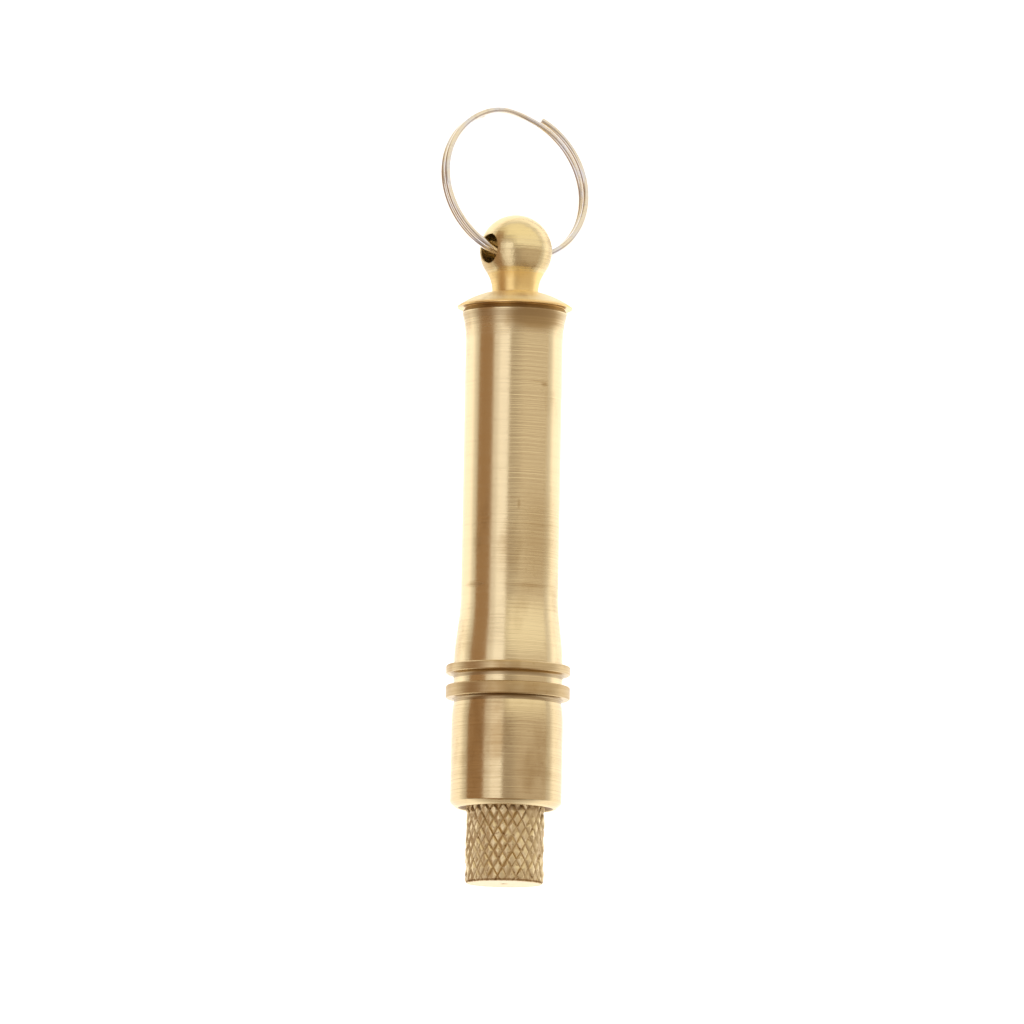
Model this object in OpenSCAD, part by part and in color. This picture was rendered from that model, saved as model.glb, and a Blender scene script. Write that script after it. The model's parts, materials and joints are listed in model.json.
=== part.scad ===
// Pocket string winder for zither strings.
// A turned brass handle with a ball finial and a split key ring keeps a steel winding pin.
// The pin is drawn out by its knurled head, the string's end goes through the hole in its tip,
// and turning the head winds the coil that is slid over the instrument's tuning pin.
//
// Each sub-part is turned about its own +Z, counted from the knurled end face.
// lay() then puts the tool on its side: that axis runs along +Y, ring end last, and the two
// collars rest on Z = 0. The origin is on the table, under the middle of the whole length.

/* [Handle] */
// Diameter of the straight grip
grip_d = 11; // [9.5:0.1:16]
// Length of the straight grip
grip_len = 29; // [24:0.5:50]
// How far the swelling stands out over the grip
swell_rise = 0.65; // [0.3:0.05:2]
// Length of the swelling
swell_len = 8; // [5:0.5:14]
// How far the collars stand out over the swelling
collar_lip = 0.85; // [0.3:0.05:2]
// Radius of the cove under each collar
cove_r = 0.45; // [0.2:0.05:0.6]
// Thickness of the upper collar
upper_collar_t = 1; // [0.7:0.1:3]
// Width of the groove between the collars
groove_w = 1.3; // [0.6:0.1:3]
// Thickness of the lower collar
lower_collar_t = 1.45; // [0.8:0.05:4]
// How far the flare under the cap stands out over the grip
flare_rise = 0.43; // [0.2:0.01:1.5]
// Length of the flare
flare_len = 3.1; // [2:0.1:6]
// Diameter of the bore
bore_d = 6; // [5.2:0.1:7.2]

/* [Ferrule] */
// How far the lower collar stands out over the ferrule
ferrule_step = 0.7; // [0.3:0.05:1.2]
// Length of the ferrule below the lower collar
ferrule_len = 12.4; // [9:0.1:20]
// How far the waist under the collar is cut back
waist_cut = 0.3; // [0.1:0.05:0.6]
// Length of the waist's curve
waist_len = 3.1; // [2:0.1:5]
// Bevel around the mouth
mouth_bevel = 0.6; // [0.3:0.05:0.8]
// Depth of the recess that the head sits in
recess_depth = 2.3; // [1.5:0.1:4]
// Gap around the head in its recess
head_gap = 0.3; // [0.2:0.05:0.6]
// Length of the bush that the pin turns in
bush_len = 9; // [6:0.5:11]
// Wall of the bush
bush_wall = 1.15; // [0.8:0.05:1.4]
// Wall of the threaded sleeve that screws into the barrel
sleeve_wall = 1.2; // [1:0.05:1.6]
// Length of that sleeve
sleeve_len = 8; // [5:0.1:12]

/* [Cap] */
// How far the cap's rim stands out over the flare
rim_lip = 0.57; // [0.2:0.01:1.5]
// Thickness of the rim's edge
rim_edge = 0.15; // [0.1:0.05:0.4]
// Height of the seat under the rim
seat_h = 0.55; // [0.3:0.05:1]
// How far the seat is cut in towards the rim
seat_cut = 0.33; // [0.1:0.01:0.6]
// Height of the dome on the rim
dome_h = 1.8; // [1.4:0.1:3]
// Radius of the dome's curve
dome_r = 9.9; // [8:0.1:20]
// Diameter of the neck
neck_d = 5.2; // [4.4:0.1:6.6]
// Length of the neck's straight part on the dome
neck_len = 0.1; // [0.1:0.1:2]
// Radius of the hollow curve between the neck and the ball
neck_curve = 4; // [2:0.1:6]
// Diameter of the ball
ball_d = 8.2; // [7.4:0.1:10]
// Turn of the cross hole about the tool's axis
eye_turn = 35; // [0:1:60]
// Step in the bore that the cap's threaded plug fits
plug_step = 0.5; // [0.3:0.05:1]
// Length of the plug
plug_len = 7.8; // [5:0.1:12]

/* [Spindle] */
// Diameter of the head, over its knurl
head_d = 9; // [8:0.1:10.8]
// Length of the head outside the ferrule
head_out = 8.5; // [6:0.5:16]
// Chamfer at both ends of the head
head_chamfer = 0.3; // [0.1:0.05:0.6]
// Diameter of the pin where it turns in its bush
journal_d = 4.5; // [4.2:0.1:5.4]
// How much thinner the pin's winding end is, in radius
coil_step = 0.25; // [0.1:0.05:0.6]
// Gap between the pin's tip and the felt pad
tip_gap = 0.5; // [0.2:0.1:2]
// Depth of the pin's socket in the head
socket_depth = 7; // [4:0.5:8]
// Diameter of the string's hole in the pin's tip
string_hole_d = 1.2; // [0.8:0.05:1.6]
// Thickness of the thrust washer
washer_t = 0.5; // [0.3:0.1:1]
// Diameter of the felt pad
pad_d = 5; // [4.6:0.1:5.6]
// Thickness of the felt pad
pad_t = 1.7; // [1:0.1:3]

/* [Split ring] */
// Mean diameter of the ring
ring_d = 17.7; // [14.7:0.1:30]
// Diameter of the ring's wire
wire_d = 0.7; // [0.5:0.05:0.9]

/* [Hidden] */
$fn = 96;

// Fits
running = 0.03;       // radial play of the pin in its bush
seated = 0.01;        // radial play of what is pressed, screwed or bonded
wire_play = 0.06;     // least play of the ring's wire in the ball's hole
small = 0.01;         // overlap that keeps a cut clean

// Diameters of the turned outline
swell_d = grip_d + 2 * swell_rise;
collar_d = swell_d + 2 * collar_lip;
ferrule_d = collar_d - 2 * ferrule_step;
flare_d = grip_d + 2 * flare_rise;
rim_d = flare_d + 2 * rim_lip;

// Diameters of what fits inside
recess_d = head_d + 2 * head_gap;
bush_d = journal_d + 2 * bush_wall;
sleeve_d = bore_d + 2 * sleeve_wall;
plug_d = bore_d + 2 * plug_step;
coil_d = journal_d - 2 * coil_step;

// Heights along the tool, from the knurled end face
mouth_z = head_out;
recess_z = mouth_z + recess_depth;
waist_z = mouth_z + ferrule_len;
seam_z = waist_z + lower_collar_t;
collar_z = seam_z + groove_w;
swell_z = collar_z + upper_collar_t;
grip_z = swell_z + swell_len;
flare_z = grip_z + grip_len;
rim_z = flare_z + flare_len;
dome_z = rim_z + seat_h;
neck_z = dome_z + dome_h;

// Ball, left where the neck's hollow curve meets it
ball_r = ball_d / 2;
ball_leaves = acos((neck_d / 2 + neck_curve) / (ball_r + neck_curve));
ball_z = neck_z + neck_len + (ball_r + neck_curve) * sin(ball_leaves);

// Cap plug, the felt pad in it, and the pin's tip just short of the pad
plug_z = rim_z - plug_len;
pad_z = plug_z + 0.85;
tip_z = pad_z - tip_gap;

// Spindle heights
head_z = recess_z - washer_t;
socket_z = head_z - socket_depth;
bearing_z = recess_z + bush_len;
shoulder_z = bearing_z + 2;
string_hole_z = tip_z - 2.3;
oring_z = (recess_z + bearing_z) / 2;
oring_wire = 0.66;
oring_r = journal_d / 2 + running / 2 - oring_wire / 2;
oring_groove_w = 1;

// Broken edge of both collars
edge = 0.12;

// One point of a smooth S from radius a to radius b over the height h, at share s
function ogee(a, b, h, s) = [a + (b - a) * (1 - cos(180 * s)) / 2, h * s];
// An S of n steps that starts at height z
function ogee_line(a, b, z, h, n) = [for (i = [0 : n]) ogee(a, b, h, i / n) + [0, z]];
// Points of an arc about a centre
function arc(centre, r, from, to, n) =
    [for (i = [0 : n]) let (t = from + (to - from) * i / n) centre + r * [cos(t), sin(t)]];
// Radius of a round that leaves a straight line and rises by rise over run
function flare_r(run, rise) = (run * run + rise * rise) / (2 * rise);

// ---- Split ring: two springy turns, sprung open on the side of the wire's end ----
ring_r = ring_d / 2;
ring_start = 66;      // angle of the wire's outer end
ring_sweep = 675;     // degrees of wire, just under two turns
cross_from = 315;     // where the wire steps across from one turn to the other
cross_to = 357;
ring_steps = 90;
// Distance between the two turns at an angle
function turn_gap(a) = wire_d + 0.25 + 0.2 * cos(a - 45);
function smooth(s) = let (c = max(0, min(1, s))) c * c * (3 - 2 * c);
// Centre of the wire after s degrees, in the ring's own plane (X and Z) and across it (Y)
function wire_at(s) =
    let (a = ring_start - s, side = 0.5 - smooth((s - cross_from) / (cross_to - cross_from)))
    [ring_r * cos(a), -side * turn_gap(a), ring_r * sin(a)];

// How the ring hangs in its hole: the play lets it sit a little askew. Its middle is nearer than
// its radius, so that the curve of the wire is shared between the hole's middle and its mouths.
ring_yaw = -6.5;
ring_cant = 4;
ring_lift = 0.27;
ring_slip = 0.17;
ring_sag = ring_r - sqrt(ring_r * ring_r - ball_r * ball_r);
ring_seat = [ring_slip, -ring_lift, ring_r - 0.83 * ring_sag];
function turn_x(v, a) = [v.x, v.y * cos(a) - v.z * sin(a), v.y * sin(a) + v.z * cos(a)];
function turn_y(v, a) = [v.x * cos(a) + v.z * sin(a), v.y, v.z * cos(a) - v.x * sin(a)];
function turn_z(v, a) = [v.x * cos(a) - v.y * sin(a), v.x * sin(a) + v.y * cos(a), v.z];
// The wire with the ring swung by a about the cross hole, from the middle of the ball
function hung(s, a) =
    turn_z(turn_x(turn_y(turn_z(wire_at(s) + ring_seat, ring_yaw), ring_cant), -a), eye_turn);
// Cross hole: as wide as the curved wire needs inside the ball, and a little play
function eye_reach(s) = let (p = turn_z(hung(s, 0), -eye_turn))
    norm(p) < ball_r + wire_d / 4 ? norm([p.y, p.z]) : 0;
eye_d = 2 * (max([for (s = [0 : 2 : ring_sweep]) eye_reach(s)]) + wire_d / 2 + wire_play);
// Height of the ring's lowest point over the table at that swing
function ring_low(a) =
    collar_d / 2 - wire_d / 2 - max([for (s = [0 : 5 : ring_sweep]) hung(s, a).y]);
// The swing at which the ring comes to rest on the table, by halving
function resting(lo, hi, n) =
    n == 0 ? lo : let (mid = (lo + hi) / 2)
    ring_low(mid) > 0 ? resting(mid, hi, n - 1) : resting(lo, mid, n - 1);
ring_swing = resting(0, 80, 14);

// Place of the tool's axis and the middle of its length
axis_h = collar_d / 2;
ring_top = ball_z + wire_d / 2 + max([for (s = [0 : 5 : ring_sweep]) hung(s, ring_swing).z]);
mid_y = ring_top / 2;

module lay() {
    translate([0, -mid_y, axis_h]) rotate([-90, 0, 0]) children();
}

// A tube swept along a list of points, closed at both ends
module tube(path, r, sides) {
    n = len(path);
    function along(i) = path[min(i + 1, n - 1)] - path[max(i - 1, 0)];
    function unit(v) = v / norm(v);
    rings = [for (i = [0 : n - 1])
        let (t = unit(along(i)), u = unit(cross([0, 1, 0], t)), v = cross(t, u))
        for (k = [0 : sides - 1]) path[i] + r * (cos(360 * k / sides) * u + sin(360 * k / sides) * v)];
    walls = [for (i = [0 : n - 2]) for (k = [0 : sides - 1]) let (m = (k + 1) % sides)
        [i * sides + k, (i + 1) * sides + k, (i + 1) * sides + m, i * sides + m]];
    first = [for (k = [0 : sides - 1]) k];
    last = [for (k = [sides - 1 : -1 : 0]) (n - 1) * sides + k];
    polyhedron(rings, concat(walls, [first, last]), convexity = 6);
}

module split_ring() {
    path = [for (i = [0 : ring_steps]) wire_at(ring_sweep * i / ring_steps)];
    color("silver") lay() translate([0, 0, ball_z]) rotate([0, 0, eye_turn])
        rotate([-ring_swing, 0, 0]) rotate([0, ring_cant, 0]) rotate([0, 0, ring_yaw])
        translate(ring_seat) tube(path, wire_d / 2, 8);
}

// Cap: threaded plug, seat, sharp-edged dome, neck and the ball with its cross hole
module finial_cap() {
    plug_r = plug_d / 2 - seated;
    neck_r = neck_d / 2;
    rim_point = [rim_d / 2, dome_z + rim_edge];
    foot = [neck_r + 0.3, neck_z];
    chord = rim_point - foot;
    tilt = atan2(-chord.y, chord.x);
    half = asin(norm(chord) / 2 / dome_r);
    dome_c = rim_point - dome_r * [cos(90 - tilt - half), sin(90 - tilt - half)];
    color("goldenrod") lay() difference() {
        rotate_extrude() polygon(concat(
            [[0, plug_z], [plug_r - 0.4, plug_z], [plug_r, plug_z + 0.4], [plug_r, rim_z]],
            [[flare_d / 2, rim_z], [flare_d / 2 - seat_cut, dome_z], [rim_d / 2, dome_z]],
            arc(dome_c, dome_r, 90 - tilt - half, 90 - tilt + half, 8),
            [[neck_r, neck_z + 0.05]],
            arc([neck_r + neck_curve, neck_z + neck_len], neck_curve, 180, 181 - ball_leaves, 12),
            arc([0, ball_z], ball_r, -ball_leaves, 90, 32)));
        translate([0, 0, ball_z]) rotate([0, 0, eye_turn]) rotate([0, 90, 0])
            cylinder(h = ball_d + 2, d = eye_d, center = true);
        translate([0, 0, plug_z - small]) cylinder(h = pad_z + pad_t - plug_z + small, d = pad_d);
    }
}

// Handle: flared rim, straight grip, swelling, upper collar and the floor of the groove
module barrel() {
    grip_r = grip_d / 2;
    rise = flare_d / 2 - grip_r;
    bend_r = flare_r(flare_len, rise);
    bend = asin(flare_len / bend_r);
    groove_r = swell_d / 2;
    cove = min(cove_r, 0.6 * collar_lip);
    color("goldenrod") lay() difference() {
        rotate_extrude() polygon(concat(
            [[0, seam_z], [groove_r, seam_z]],
            arc([groove_r + cove, collar_z - cove], cove, 180, 90, 6),
            [[collar_d / 2 - edge, collar_z], [collar_d / 2, collar_z + edge]],
            [[collar_d / 2, swell_z - edge], [collar_d / 2 - edge, swell_z]],
            ogee_line(swell_d / 2, grip_r, swell_z, swell_len, 16),
            arc([grip_r + bend_r, flare_z], bend_r, 180, 180 - bend, 8),
            [[0, rim_z]]));
        translate([0, 0, seam_z - small]) cylinder(h = rim_z - seam_z + 2 * small, d = bore_d);
        translate([0, 0, seam_z - small]) cylinder(h = sleeve_len + 2 * small, d = sleeve_d);
        translate([0, 0, plug_z - small]) cylinder(h = plug_len + 2 * small, d = plug_d);
    }
}

// Ferrule: lower collar, waisted sleeve with a bevelled mouth, recess, bearing and thread
module ferrule() {
    sleeve_r = sleeve_d / 2 - seated;
    mouth_r = ferrule_d / 2 - mouth_bevel;
    waist_r = ferrule_d / 2 - waist_cut;
    hollow_r = flare_r(waist_len, waist_cut);
    cove = min(cove_r, 0.6 * (ferrule_step + waist_cut));
    hollow = asin((waist_len - cove) / hollow_r);
    color("goldenrod") lay() difference() {
        rotate_extrude() polygon(concat(
            [[0, mouth_z], [mouth_r - 0.1, mouth_z], [ferrule_d / 2, mouth_z + mouth_bevel]],
            arc([ferrule_d / 2 - hollow_r, waist_z - waist_len], hollow_r, 0, hollow, 10),
            arc([waist_r + cove, waist_z - cove], cove, 180, 90, 6),
            [[collar_d / 2 - edge, waist_z], [collar_d / 2, waist_z + edge]],
            [[collar_d / 2, seam_z - edge], [collar_d / 2 - edge, seam_z]],
            [[sleeve_r, seam_z], [sleeve_r, seam_z + sleeve_len - 0.3]],
            [[sleeve_r - 0.3, seam_z + sleeve_len], [0, seam_z + sleeve_len]]));
        translate([0, 0, mouth_z - small]) cylinder(h = recess_depth + small, d = recess_d);
        translate([0, 0, mouth_z - small])
            cylinder(h = mouth_bevel, d1 = recess_d + 2 * mouth_bevel, d2 = recess_d);
        translate([0, 0, mouth_z]) cylinder(h = bearing_z - mouth_z, d = bush_d);
        translate([0, 0, mouth_z]) cylinder(h = seam_z + sleeve_len, d = bore_d);
    }
}

// Head with its socket for the pin. The knurl is rolled on this blank.
module knurled_head() {
    r = head_d / 2;
    color("darkgoldenrod") lay() difference() {
        rotate_extrude() polygon([[0, 0], [r - head_chamfer, 0], [r, head_chamfer],
            [r, head_z - head_chamfer], [r - head_chamfer, head_z], [0, head_z]]);
        translate([0, 0, socket_z]) cylinder(h = socket_depth + small, d = journal_d + 2 * seated);
    }
}

// Steel winding pin: journal with the O-ring's groove, winding end with the string's hole
module winding_pin() {
    r = journal_d / 2;
    tip_r = 0.8;
    groove_r = oring_r - oring_wire / 2 - seated;
    color("gainsboro") lay() difference() {
        rotate_extrude() polygon(concat(
            [[0, socket_z + seated], [r - 0.3, socket_z + seated], [r, socket_z + 0.3]],
            [[r, oring_z - oring_groove_w / 2], [groove_r, oring_z - oring_groove_w / 2]],
            [[groove_r, oring_z + oring_groove_w / 2], [r, oring_z + oring_groove_w / 2]],
            [[r, shoulder_z - r + coil_d / 2], [coil_d / 2, shoulder_z]],
            arc([coil_d / 2 - tip_r, tip_z - tip_r], tip_r, 0, 90, 8), [[0, tip_z]]));
        translate([0, 0, string_hole_z]) rotate([0, 90, 0])
            cylinder(h = coil_d + 2, d = string_hole_d, center = true);
    }
}

// Rubber ring in the pin's groove, the drag that keeps the spindle in the handle
module o_ring() {
    color("dimgray") lay() translate([0, 0, oring_z])
        rotate_extrude() translate([oring_r, 0]) circle(d = oring_wire, $fn = 32);
}

// Steel washer at the bottom of the ferrule's recess
module thrust_washer() {
    color("lightsteelblue") lay() translate([0, 0, head_z]) difference() {
        cylinder(h = washer_t, d = recess_d - 2 * seated);
        translate([0, 0, -small]) cylinder(h = washer_t + 2 * small, d = journal_d + 0.3);
    }
}

// Bronze bush pressed into the ferrule from its recess, the spindle's bearing
module bearing_bush() {
    color("peru") lay() translate([0, 0, recess_z]) difference() {
        cylinder(h = bush_len, d = bush_d - 2 * seated);
        translate([0, 0, -small]) cylinder(h = bush_len + 2 * small, d = journal_d + 2 * running);
    }
}

// Felt pad inside the plug, behind the pin's tip
module tip_pad() {
    color("seagreen") lay() translate([0, 0, pad_z]) cylinder(h = pad_t, d = pad_d - 2 * seated);
}

split_ring();
finial_cap();
barrel();
ferrule();
knurled_head();
winding_pin();
o_ring();
thrust_washer();
bearing_bush();
tip_pad();
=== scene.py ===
import json
import math
import random

import bmesh
import bpy
from mathutils import Matrix, Quaternion, Vector


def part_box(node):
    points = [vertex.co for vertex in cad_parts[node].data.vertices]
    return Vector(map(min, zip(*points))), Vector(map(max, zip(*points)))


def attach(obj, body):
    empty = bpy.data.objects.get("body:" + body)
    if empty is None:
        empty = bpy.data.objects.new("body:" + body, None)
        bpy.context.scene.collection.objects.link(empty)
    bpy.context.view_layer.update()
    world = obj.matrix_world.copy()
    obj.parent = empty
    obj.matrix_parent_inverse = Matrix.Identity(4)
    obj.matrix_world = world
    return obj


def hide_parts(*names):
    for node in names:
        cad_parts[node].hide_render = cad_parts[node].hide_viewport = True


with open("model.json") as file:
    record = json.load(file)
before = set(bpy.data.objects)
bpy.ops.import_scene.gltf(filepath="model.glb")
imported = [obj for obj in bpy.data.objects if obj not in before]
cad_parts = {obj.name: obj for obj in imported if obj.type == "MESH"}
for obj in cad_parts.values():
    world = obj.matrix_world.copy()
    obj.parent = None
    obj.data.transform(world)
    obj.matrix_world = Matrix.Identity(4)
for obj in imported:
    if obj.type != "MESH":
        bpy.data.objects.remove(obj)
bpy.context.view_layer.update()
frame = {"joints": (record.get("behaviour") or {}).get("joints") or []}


# ---------------------------------------------------------------------------------------------
# The set: the tool lies on an opal light table and is seen from nearly straight above, through a
# very long lens. The first object made is the camera.
MM = 0.001
lens_view = bpy.data.cameras.new("camera")
camera = bpy.data.objects.new("camera", lens_view)
bpy.context.scene.collection.objects.link(camera)
bpy.context.scene.camera = camera
barrel_low, barrel_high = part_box("barrel")
axis_x = (barrel_low.x + barrel_high.x) / 2
axis_z = (barrel_low.z + barrel_high.z) / 2
looked_at = Vector((axis_x + 0.1 * MM, -2.2 * MM, axis_z))
camera_distance = 1.6
frame_width = 0.1156
lens_view.sensor_width = 36.0
lens_view.lens = lens_view.sensor_width * camera_distance / frame_width
lens_view.clip_start, lens_view.clip_end = 0.5, 60.0
camera_height = math.radians(83.2)
camera_roll = math.radians(1.06)
towards_camera = Vector((0, -math.cos(camera_height), math.sin(camera_height)))
camera.location = looked_at + towards_camera * camera_distance
camera.rotation_mode = "QUATERNION"
camera.rotation_quaternion = (-towards_camera).to_track_quat("-Z", "Y") @ Quaternion(
    (0, 0, 1), camera_roll)
bpy.context.scene.view_settings.view_transform = "Standard"


class Wire:
    """A socket's value while a finish is put together. Sums and products of wires add their Math
    nodes, and node() adds any other node."""

    def __init__(self, tree, socket=None):
        self.tree, self.socket = tree, socket

    def node(self, kind, settings=None, sockets=None, out=0):
        made = self.tree.nodes.new(kind)
        for key, value in (settings or {}).items():
            setattr(made, key, value)
        for key, value in (sockets or {}).items():
            if isinstance(value, Wire):
                self.tree.links.new(value.socket, made.inputs[key])
            else:
                made.inputs[key].default_value = value
        return Wire(self.tree, made.outputs[out] if made.outputs else None)

    def math(self, operation, a, b):
        return self.node("ShaderNodeMath", {"operation": operation}, {0: a, 1: b})

    def __add__(self, other):
        return self.math("ADD", self, other)

    def __sub__(self, other):
        return self.math("SUBTRACT", self, other)

    def __rsub__(self, other):
        return self.math("SUBTRACT", other, self)

    def __mul__(self, other):
        return self.math("MULTIPLY", self, other)

    def __truediv__(self, other):
        return self.math("DIVIDE", self, other)

    def __pow__(self, other):
        return self.math("POWER", self, other)

    __radd__ = __add__
    __rmul__ = __mul__

    def part(self, name):
        """One of a vector's X, Y and Z."""
        return self.node("ShaderNodeSeparateXYZ", {}, {0: self}, name)

    def rise(self, start, end):
        """0 before start, 1 after end, smooth between. With end before start it falls."""
        low, high = min(start, end), max(start, end)
        up = self.node("ShaderNodeMapRange", {"interpolation_type": "SMOOTHSTEP"},
                       {"Value": self, "From Min": low, "From Max": high})
        return up if end > start else 1 - up

    def within(self, start, end, soft):
        """1 between start and end, 0 outside, over a soft edge."""
        return self.rise(start - soft, start + soft) * self.rise(end + soft, end - soft)

    def colours(self, first, second):
        """The first colour where this is 0 and the second where it is 1."""
        return self.node("ShaderNodeMix", {"data_type": "RGBA"}, {0: self, 6: first, 7: second}, 2)

    def vector(self, operation, a, b, out=0):
        return self.node("ShaderNodeVectorMath", {"operation": operation}, {0: a, 1: b}, out)


def grey(level):
    return (level, level, level, 1)


# Surroundings: a plain dim room. It is darker and warmer low on the left and towards the knurled
# end, and paler beyond the ring.
room = bpy.data.worlds.new("room")
bpy.context.scene.world = room
room.use_nodes = True
room.node_tree.nodes.clear()
air = Wire(room.node_tree)
direction = air.node("ShaderNodeTexCoord", {}, {}, "Generated")
side, along, up = direction.part("X"), direction.part("Y"), direction.part("Z")
round_tool = side / (side * side + up * up + 0.0001) ** 0.5
wall = round_tool.rise(0.05, 0.5).colours((0.43, 0.36, 0.30, 1), (0.60, 0.51, 0.425, 1))
wall = along.rise(-0.5, -0.9).colours(wall, (0.30, 0.22, 0.14, 1))
wall = (along.rise(0.12, 0.28) * round_tool.rise(-0.3, 0.1)).colours(wall, (0.98, 0.92, 0.80, 1))
wall = along.rise(0.4, 0.85).colours(wall, (1.0, 0.92, 0.72, 1))
wall = (round_tool.rise(-0.66, -0.80) * along.rise(1.0, 0.6)).colours(
    wall, (0.36, 0.225, 0.13, 1))
room_light = air.node("ShaderNodeBackground", {}, {"Color": wall, "Strength": 1.0})
air.node("ShaderNodeOutputWorld", {}, {"Surface": room_light})

# Softbox on the left, along the tool. Its outer side is dimmer.
softbox_distance, softbox_length = 0.7, 1.25
for name, inner, outer, power in (("softbox", 9.4, 34.0, 2.2), ("softbox_side", 34.0, 48.0, 1.35)):
    middle, half_width = math.radians((inner + outer) / 2), math.radians((outer - inner) / 2)
    light = bpy.data.lights.new(name, "AREA")
    light.shape = "RECTANGLE"
    light.size, light.size_y = 2 * softbox_distance * math.tan(half_width), softbox_length
    light.energy = power * light.size * light.size_y
    light.color = (0.94, 0.98, 1.08)
    lamp = bpy.data.objects.new(name, light)
    lamp.location = (-softbox_distance * math.sin(middle), -0.30,
                     softbox_distance * math.cos(middle))
    lamp.rotation_euler = (0, -middle, 0)
    lamp.visible_camera = False
    bpy.context.scene.collection.objects.link(lamp)

# Light table: glows strongly upwards and less at low angles.
table = bmesh.new()
bmesh.ops.create_circle(table, cap_ends=True, segments=96, radius=20.0)
table_mesh = bpy.data.meshes.new("light_table")
table.to_mesh(table_mesh)
table.free()
table_object = bpy.data.objects.new("light_table", table_mesh)
bpy.context.scene.collection.objects.link(table_object)
opal = bpy.data.materials.new("opal")
opal.use_nodes = True
opal.node_tree.nodes.clear()
glow = Wire(opal.node_tree)
facing = 1 - glow.node("ShaderNodeLayerWeight", {}, {"Blend": 0.5}, "Facing")
glow_colour = facing.rise(0.08, 0.44).colours(grey(0.30), grey(0.86))
glow_colour = facing.rise(0.86, 0.97).colours(glow_colour, grey(1.0))
opal_shader = glow.node("ShaderNodeBsdfPrincipled", {}, {
    "Base Color": grey(0.55), "Roughness": 0.7, "Specular IOR Level": 0.2,
    "Emission Color": glow_colour, "Emission Strength": 1.06})
glow.node("ShaderNodeOutputMaterial", {}, {"Surface": opal_shader})
table_mesh.materials.append(opal)


# ---------------------------------------------------------------------------------------------
# Barrel: the brass handle, turned from bar on a lathe. A flared end, a straight grip, a swelling
# and one collar, then the floor of the groove. It is bored through for the pin.
def smooth_step(share):
    return (1 - math.cos(math.pi * share)) / 2


def ogee(r_start, r_end, start, length, steps):
    """Outline points of an S-shaped change of radius."""
    return [(r_start + (r_end - r_start) * smooth_step(i / steps), start + length * i / steps, 0.0)
            for i in range(steps + 1)]


def turned(outline, start_y, steps=240, closed=True):
    """A solid turned about the tool's axis. The outline is (radius, distance from start_y, corner
    round) in mm. A closed outline runs back to its first point, as a tube's does."""
    work = bmesh.new()
    corners = [work.verts.new((axis_x + r * MM, start_y + along * MM, axis_z))
               for r, along, _ in outline]
    pairs = list(zip(corners, corners[1:]))
    if closed:
        pairs.append((corners[-1], corners[0]))
    for pair in pairs:
        work.edges.new(pair)
    rounds = {}
    for corner, (_, _, size) in zip(corners, outline):
        if size:
            rounds.setdefault(size, []).append(corner)
    for size, found in rounds.items():
        bmesh.ops.bevel(work, geom=found, offset=size * MM, segments=4, profile=0.5,
                        affect="VERTICES", material=-1)
    bmesh.ops.spin(work, geom=work.verts[:] + work.edges[:], cent=(axis_x, 0, axis_z),
                   axis=(0, 1, 0), angle=2 * math.pi, steps=steps, use_merge=True)
    return work


def made_piece(name, work, finish, sharp=32):
    """Closes the mesh, smooths it up to its sharp edges, and gives it its finish."""
    bmesh.ops.remove_doubles(work, verts=work.verts, dist=0.0005 * MM)
    bmesh.ops.dissolve_degenerate(work, dist=0.0002 * MM, edges=work.edges)
    bmesh.ops.recalc_face_normals(work, faces=work.faces)
    mesh = bpy.data.meshes.new(name)
    work.to_mesh(mesh)
    work.free()
    mesh.polygons.foreach_set("use_smooth", [True] * len(mesh.polygons))
    mesh.set_sharp_from_angle(angle=math.radians(sharp))
    mesh.materials.append(finish)
    piece = bpy.data.objects.new(name, mesh)
    bpy.context.scene.collection.objects.link(piece)
    return piece


head_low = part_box("knurled_head")[0]


def finish_base(name):
    """An empty material, its wires, and the place on the surface in mm: X and Z from the tool's
    axis, and Y from the knurled end."""
    material = bpy.data.materials.new(name)
    material.use_nodes = True
    material.node_tree.nodes.clear()
    start = Wire(material.node_tree)
    place = start.node("ShaderNodeMapping", {}, {
        "Vector": start.node("ShaderNodeTexCoord", {}, {}, "Object"),
        "Location": (-axis_x / MM, -head_low.y / MM, -axis_z / MM),
        "Scale": (1 / MM, 1 / MM, 1 / MM)})
    return material, start, place


def mottle(place, scale, detail=2.0, stretch=(1, 1, 1), rough=0.5):
    """Cloudy variation, 0 to 1, with patches about 1/scale mm across."""
    stretched = place.vector("MULTIPLY", place, stretch)
    return place.node("ShaderNodeTexNoise", {"noise_dimensions": "3D"}, {
        "Vector": stretched, "Scale": scale, "Detail": detail, "Roughness": rough})


def turning_lines(place, per_mm, detail=2.0, wander=0.0):
    """Lines left round the work by the tool, about per_mm of them in each mm."""
    along = place.part("Y") * per_mm
    if wander:
        along = along + mottle(place, 0.5, 1.0) * wander
    return place.node("ShaderNodeTexNoise", {"noise_dimensions": "1D"}, {
        "W": along, "Scale": 1.0, "Detail": detail, "Roughness": 0.6})


def mark(place, at, size, soft=0.8):
    """1 inside a small mark at a place in mm, with half sizes in mm, and 0 outside."""
    away = place.vector("SUBTRACT", place, at)
    shared = place.vector("DIVIDE", away, size)
    reach = place.node("ShaderNodeVectorMath", {"operation": "LENGTH"}, {0: shared}, "Value")
    return reach.rise(1 + soft, 1 - soft)


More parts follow.
